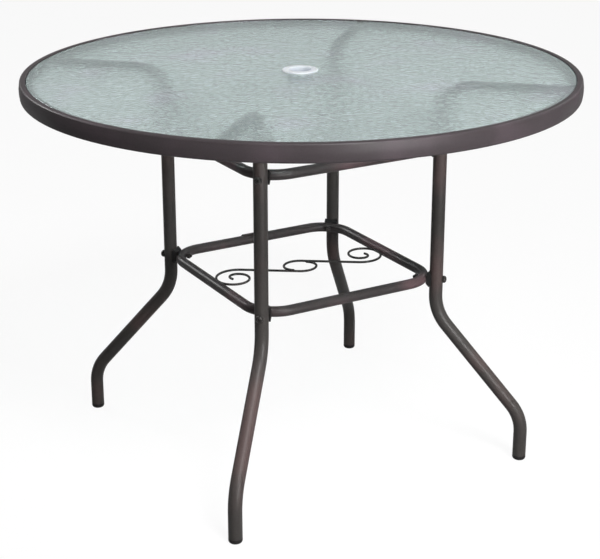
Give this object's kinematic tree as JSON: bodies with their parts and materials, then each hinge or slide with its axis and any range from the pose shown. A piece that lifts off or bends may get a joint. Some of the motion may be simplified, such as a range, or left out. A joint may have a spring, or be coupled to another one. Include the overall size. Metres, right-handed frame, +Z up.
{
  "type": "umbrella table",
  "caption": "Round glass-topped patio table with an umbrella hole, a rolled metal rim, bent tube legs, two square ring braces and wire scrolls.",
  "frame": {"origin": "on the floor under the centre of the table, on the axis of the umbrella hole", "axes": "+Z up along the umbrella hole's axis; the legs stand on the diagonals between X and Y; the wire scrolls of the lower ring run from its side at -X to its side at +X"},
  "size_m": [1.0158, 1.0158, 0.7331],
  "materials": {
    "bronze_powder_coat": "dark bronze-brown powder coat, satin, with a faint metallic fleck",
    "patterned_glass": "tempered obscure glass, pale aqua-grey, with a fine rippled pattern",
    "white_plastic": "moulded, satin, cool white",
    "black_plastic": "moulded, fine matt grain",
    "dark_fastener": "dark phosphated steel, satin",
    "clear_bumper": "clear soft vinyl pads"
  },
  "bodies": {
    "root": {"table_rim": "bronze_powder_coat", "glass_top": "patterned_glass", "glass_bumpers": "clear_bumper", "umbrella_ring": "white_plastic", "umbrella_ring_nut": "white_plastic", "leg_front_left": "bronze_powder_coat", "foot_cap_front_left": "black_plastic", "rim_stub_front_left": "bronze_powder_coat", "leg_front_right": "bronze_powder_coat", "foot_cap_front_right": "black_plastic", "rim_stub_front_right": "bronze_powder_coat", "leg_back_right": "bronze_powder_coat", "foot_cap_back_right": "black_plastic", "rim_stub_back_right": "bronze_powder_coat", "leg_back_left": "bronze_powder_coat", "foot_cap_back_left": "black_plastic", "rim_stub_back_left": "bronze_powder_coat", "rim_stub_screws": "dark_fastener", "upper_ring": "bronze_powder_coat", "upper_ring_strap": "bronze_powder_coat", "upper_saddle_front_left": "black_plastic", "upper_saddle_front_right": "black_plastic", "upper_saddle_back_right": "black_plastic", "upper_saddle_back_left": "black_plastic", "upper_ring_bolts": "dark_fastener", "upper_ring_nuts": "dark_fastener", "lower_ring": "bronze_powder_coat", "lower_ring_strap": "bronze_powder_coat", "lower_saddle_front_left": "black_plastic", "lower_saddle_front_right": "black_plastic", "lower_saddle_back_right": "black_plastic", "lower_saddle_back_left": "black_plastic", "lower_ring_bolts": "dark_fastener", "lower_ring_nuts": "dark_fastener", "scroll_left": "bronze_powder_coat", "scroll_right": "bronze_powder_coat"}
  },
  "joints": []
}
